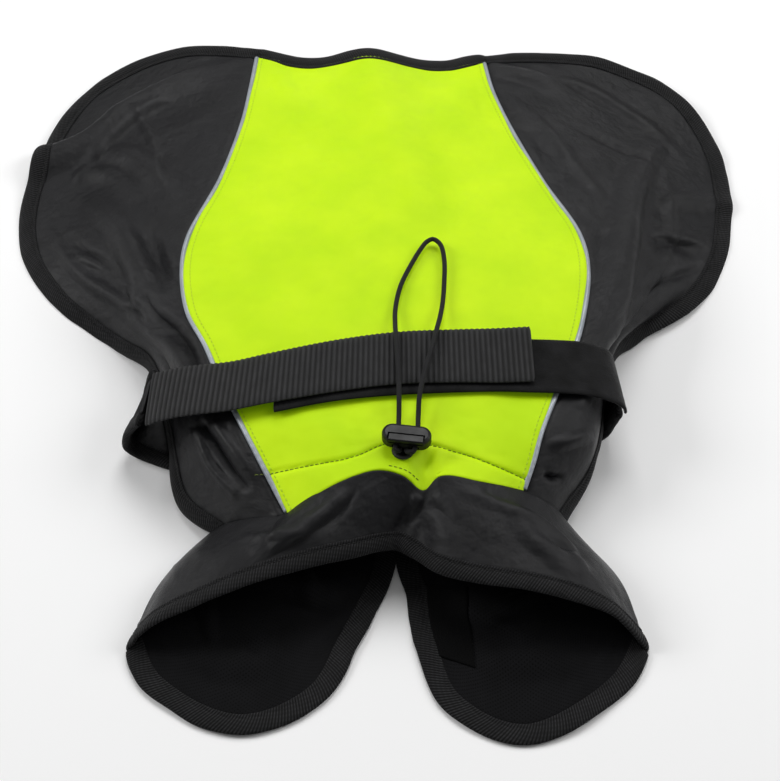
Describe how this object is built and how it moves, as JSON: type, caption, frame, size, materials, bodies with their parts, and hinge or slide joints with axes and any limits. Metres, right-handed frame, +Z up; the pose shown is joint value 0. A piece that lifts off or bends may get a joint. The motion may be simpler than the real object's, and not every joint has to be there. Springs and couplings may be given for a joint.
{
  "type": "dog rain jacket",
  "caption": "Small dog's rain jacket laid belly-down: bright back panel, black sides, collar and chest flaps, a closing strap over the back and a drawcord with its lock.",
  "frame": {"origin": "under the middle of the jacket, on the surface it lies on", "axes": "+Z up, +Y to the rear hem, -Y to the neck, +X to the right of someone who stands at the neck end"},
  "size_m": [0.3928, 0.4516, 0.0537],
  "materials": {
    "hi_vis_cloth": "matt coated cloth, bright yellow-green",
    "black_cloth": "soft coated cloth, slight sheen",
    "mesh_lining": "knitted mesh, matt",
    "binding_tape": "twill tape, matt",
    "reflective_piping": "reflective, satin grey",
    "webbing": "ribbed, matt",
    "loop_pile": "brushed loop pile",
    "elastic_cord": "braided cover, matt",
    "lock_plastic": "glossy",
    "eyelet_plastic": "satin"
  },
  "bodies": {
    "root": {"back_panel": "hi_vis_cloth", "side_panel_left": "black_cloth", "side_panel_right": "black_cloth", "collar": "black_cloth", "chest_flap_left": "mesh_lining", "chest_flap_right": "mesh_lining", "piping_left": "reflective_piping", "piping_right": "reflective_piping", "binding_rear": "binding_tape", "binding_left": "binding_tape", "binding_right": "binding_tape", "binding_collar": "binding_tape", "binding_flap_left": "binding_tape", "binding_flap_right": "binding_tape", "belly_band": "black_cloth", "binding_band_front": "binding_tape", "binding_band_rear": "binding_tape", "strap_webbing": "webbing", "strap_loop_tape": "loop_pile", "closure_patch": "loop_pile", "eyelet": "eyelet_plastic", "drawcord": "elastic_cord", "cord_lock": "lock_plastic", "cord_lock_button": "lock_plastic"}
  },
  "joints": []
}
